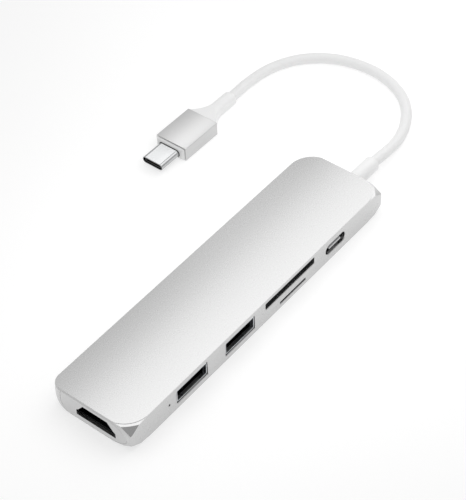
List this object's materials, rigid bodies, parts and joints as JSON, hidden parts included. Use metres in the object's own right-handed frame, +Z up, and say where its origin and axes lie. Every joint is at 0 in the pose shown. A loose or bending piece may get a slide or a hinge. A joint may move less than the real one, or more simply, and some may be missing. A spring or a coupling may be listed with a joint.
{
  "type": "usb hub",
  "caption": "Slim aluminium USB hub with side ports and card slots, a video port at one end, and a short captive cable with a USB-C plug at the other.",
  "frame": {"origin": "middle of the body's underside, on the surface it rests on; the cable and plug are left out of that middle", "axes": "+Z up, +X along the body from the video-port end to the cable end, -Y the side that carries the ports"},
  "size_m": [0.1801, 0.0787, 0.0092],
  "materials": {
    "aluminium_body": "fine bead-blasted, clear anodised",
    "plug_aluminium": "fine bead-blasted, clear anodised",
    "steel": "bright plated sheet",
    "black_plastic": "satin moulded",
    "grey_plastic": "satin moulded",
    "white_plastic": "satin moulded",
    "white_cable": "smooth satin elastomer",
    "circuit_board": "dark solder mask",
    "chip": "moulded package",
    "thermal_pad": "soft matte",
    "light_pipe": "clear"
  },
  "bodies": {
    "hub": {"bottom_lid": "aluminium_body", "bulk_capacitor": "black_plastic", "cable_wire_bundle": "white_cable", "card_reader_chip": "chip", "cord": "white_cable", "crystal_oscillator": "steel", "end_plate_cable": "aluminium_body", "end_plate_hdmi": "aluminium_body", "hdmi_shell": "steel", "hdmi_tongue": "black_plastic", "hub_controller_chip": "chip", "hub_strain_relief": "white_cable", "led_light_pipe": "light_pipe", "main_pcb": "circuit_board", "micro_sd_cover": "steel", "micro_sd_frame": "black_plastic", "micro_sd_spring": "steel", "pcb_screw_1": "steel", "pcb_screw_2": "steel", "pcb_screw_3": "steel", "pcb_screw_4": "steel", "plug_boot": "white_cable", "plug_contact_carrier": "black_plastic", "plug_front_insert": "grey_plastic", "plug_marker_chip": "chip", "plug_paddle_card": "circuit_board", "plug_shell": "steel", "plug_sleeve": "plug_aluminium", "power_delivery_chip": "chip", "power_inductor_1": "grey_plastic", "power_inductor_2": "grey_plastic", "power_led": "white_plastic", "sd_socket_cover": "steel", "sd_socket_frame": "black_plastic", "thermal_pad": "thermal_pad", "top_shell": "aluminium_body", "usb_a_shell_1": "steel", "usb_a_shell_2": "steel", "usb_a_tongue_1": "black_plastic", "usb_a_tongue_2": "black_plastic", "usb_c_shell": "steel", "usb_c_tongue": "grey_plastic", "video_converter_chip": "chip"},
    "micro_sd_slider": {"micro_sd_slider": "white_plastic"}
  },
  "joints": [
    {"name": "micro_sd_slide", "type": "slide", "parent": "hub", "child": "micro_sd_slider", "axis": [0, 1, 0], "range_m": [0, 0.0022], "stiffness_N_per_m": 150, "springref_m": -0.001, "deforming": ["micro_sd_spring"]}
  ]
}
